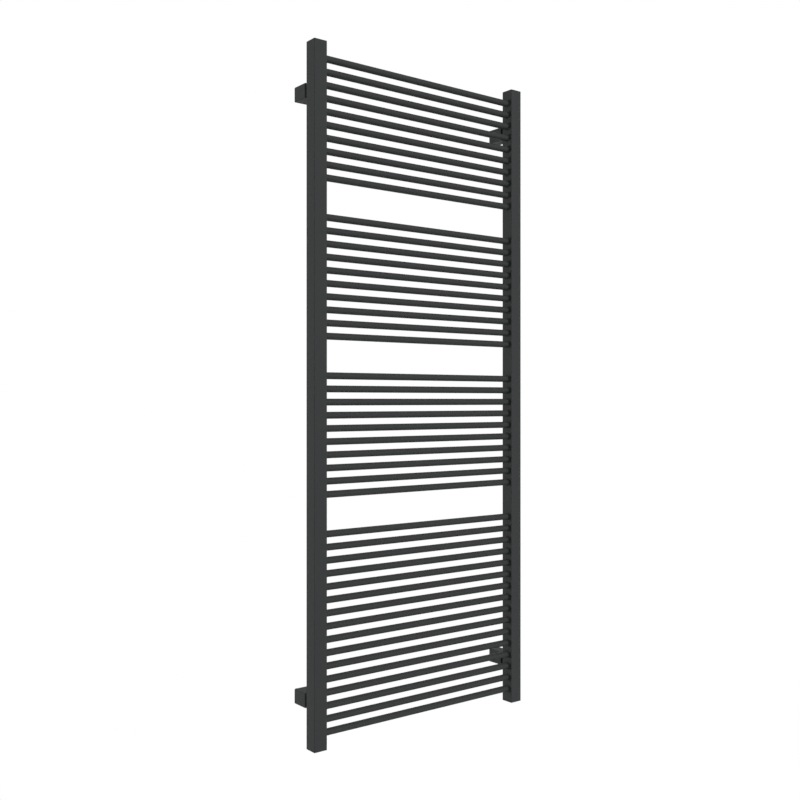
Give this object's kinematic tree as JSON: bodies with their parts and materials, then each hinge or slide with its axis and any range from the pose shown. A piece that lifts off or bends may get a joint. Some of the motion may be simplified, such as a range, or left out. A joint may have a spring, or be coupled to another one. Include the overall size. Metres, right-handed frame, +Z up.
{
  "type": "ladder towel radiator",
  "caption": "Tall ladder towel radiator: square upright collectors, banks of round cross tubes, telescopic wall brackets with clamp screws, valve sockets below and an air vent behind.",
  "frame": {"origin": "on the wall plane, in the middle of the four wall fixings", "axes": "+X to the right of someone who faces the radiator, +Y into the wall, +Z up"},
  "size_m": [0.6, 0.081, 1.5],
  "materials": {
    "powder_coat": "satin anthracite powder coat",
    "dark_steel": "black oxide",
    "plain_steel": "bare",
    "nickel_plate": "nickel-plated",
    "seal_rubber": "matt",
    "nozzle_plastic": "moulded"
  },
  "bodies": {
    "radiator": {"left_collector": "powder_coat", "right_collector": "powder_coat", "left_top_cap": "powder_coat", "right_top_cap": "powder_coat", "valve_sockets": "powder_coat", "top_tube_bank": "powder_coat", "upper_tube_bank": "powder_coat", "lower_tube_bank": "powder_coat", "bottom_tube_bank": "powder_coat", "left_upper_bracket_peg": "powder_coat", "left_lower_bracket_peg": "powder_coat", "right_upper_bracket_peg": "powder_coat", "right_lower_bracket_peg": "powder_coat", "vent_weld_nut": "plain_steel", "vent_seal": "seal_rubber", "vent_body": "nickel_plate"},
    "left_upper_bracket": {"left_upper_bracket_sleeve": "powder_coat"},
    "left_upper_clamp_screw": {"left_upper_grub_screw": "dark_steel"},
    "left_lower_bracket": {"left_lower_bracket_sleeve": "powder_coat"},
    "left_lower_clamp_screw": {"left_lower_grub_screw": "dark_steel"},
    "right_upper_bracket": {"right_upper_bracket_sleeve": "powder_coat"},
    "right_upper_clamp_screw": {"right_upper_grub_screw": "dark_steel"},
    "right_lower_bracket": {"right_lower_bracket_sleeve": "powder_coat"},
    "right_lower_clamp_screw": {"right_lower_grub_screw": "dark_steel"},
    "vent_screw": {"vent_screw": "nickel_plate"},
    "vent_nozzle": {"vent_nozzle": "nozzle_plastic"}
  },
  "joints": [
    {"name": "left_upper_bracket_slide", "type": "slide", "parent": "radiator", "child": "left_upper_bracket", "axis": [0, 1, 0], "range_m": [-0.004, 0.01]},
    {"name": "left_upper_clamp_turn", "type": "hinge", "parent": "left_upper_bracket", "child": "left_upper_clamp_screw", "pos_m": [-0.284, -0.032, 0.649], "axis": [0, 0, -1], "range_deg": [0, 270]},
    {"name": "left_lower_bracket_slide", "type": "slide", "parent": "radiator", "child": "left_lower_bracket", "axis": [0, 1, 0], "range_m": [-0.004, 0.01]},
    {"name": "left_lower_clamp_turn", "type": "hinge", "parent": "left_lower_bracket", "child": "left_lower_clamp_screw", "pos_m": [-0.284, -0.032, -0.649], "axis": [0, 0, -1], "range_deg": [0, 270]},
    {"name": "right_upper_bracket_slide", "type": "slide", "parent": "radiator", "child": "right_upper_bracket", "axis": [0, 1, 0], "range_m": [-0.004, 0.01]},
    {"name": "right_upper_clamp_turn", "type": "hinge", "parent": "right_upper_bracket", "child": "right_upper_clamp_screw", "pos_m": [0.284, -0.032, 0.649], "axis": [0, 0, -1], "range_deg": [0, 270]},
    {"name": "right_lower_bracket_slide", "type": "slide", "parent": "radiator", "child": "right_lower_bracket", "axis": [0, 1, 0], "range_m": [-0.004, 0.01]},
    {"name": "right_lower_clamp_turn", "type": "hinge", "parent": "right_lower_bracket", "child": "right_lower_clamp_screw", "pos_m": [0.284, -0.032, -0.649], "axis": [0, 0, -1], "range_deg": [0, 270]},
    {"name": "vent_screw_turn", "type": "hinge", "parent": "radiator", "child": "vent_screw", "pos_m": [-0.284, -0.041, 0.724], "axis": [0, 1, 0], "range_deg": [0, 180]},
    {"name": "vent_nozzle_turn", "type": "hinge", "parent": "radiator", "child": "vent_nozzle", "pos_m": [-0.284, -0.041, 0.724], "axis": [0, 1, 0], "continuous": true}
  ]
}
